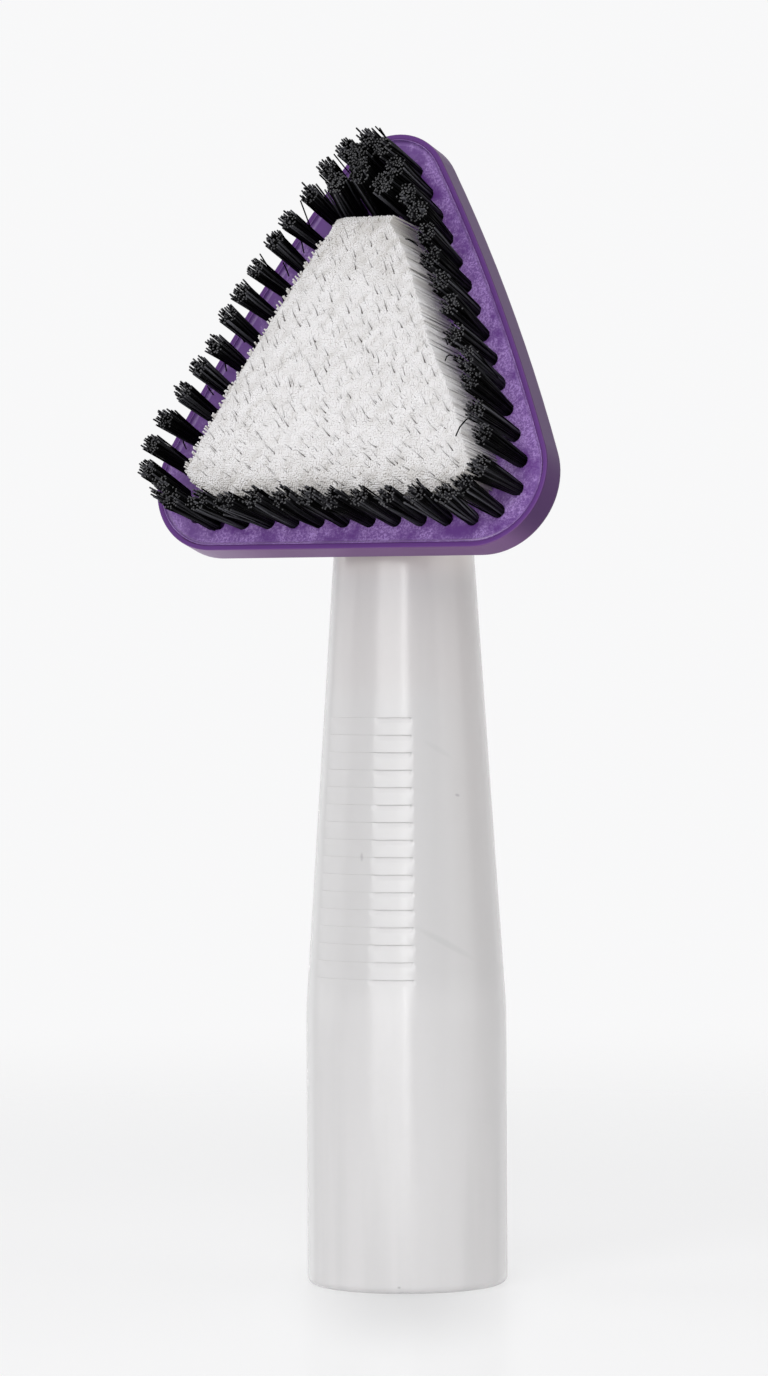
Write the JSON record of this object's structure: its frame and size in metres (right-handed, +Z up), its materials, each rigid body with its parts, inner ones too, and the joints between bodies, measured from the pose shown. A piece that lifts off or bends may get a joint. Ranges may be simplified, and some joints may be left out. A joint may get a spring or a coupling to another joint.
{
  "type": "crevice brush",
  "caption": "Hand brush with a tilted rounded-triangle head: low white bristles ringed by longer black tufts, on a hollow tapered handle with grip steps and an open pole socket.",
  "frame": {"origin": "centre of the handle's open bottom rim, on the handle's axis", "axes": "+Z up the handle's axis to the head, -Y the side that the bristles face, +X to the right as seen from the bristle side"},
  "size_m": [0.0772, 0.0514, 0.2004],
  "materials": {
    "handle_plastic": "translucent grey, satin",
    "head_plastic": "purple, satin",
    "black_bristle": "stiff black filament",
    "white_bristle": "stiff white filament",
    "screw_steel": "plain"
  },
  "bodies": {
    "root": {"handle": "handle_plastic", "head_shell": "head_plastic", "bristle_plate": "head_plastic", "neck_screw": "screw_steel", "black_row_right": "black_bristle", "black_row_bottom": "black_bristle", "black_row_left": "black_bristle", "black_apex_group": "black_bristle", "white_row_01": "white_bristle", "white_row_02": "white_bristle", "white_row_03": "white_bristle", "white_row_04": "white_bristle", "white_row_05": "white_bristle", "white_row_06": "white_bristle", "white_row_07": "white_bristle", "white_row_08": "white_bristle", "white_row_09": "white_bristle", "white_row_10": "white_bristle"}
  },
  "joints": []
}
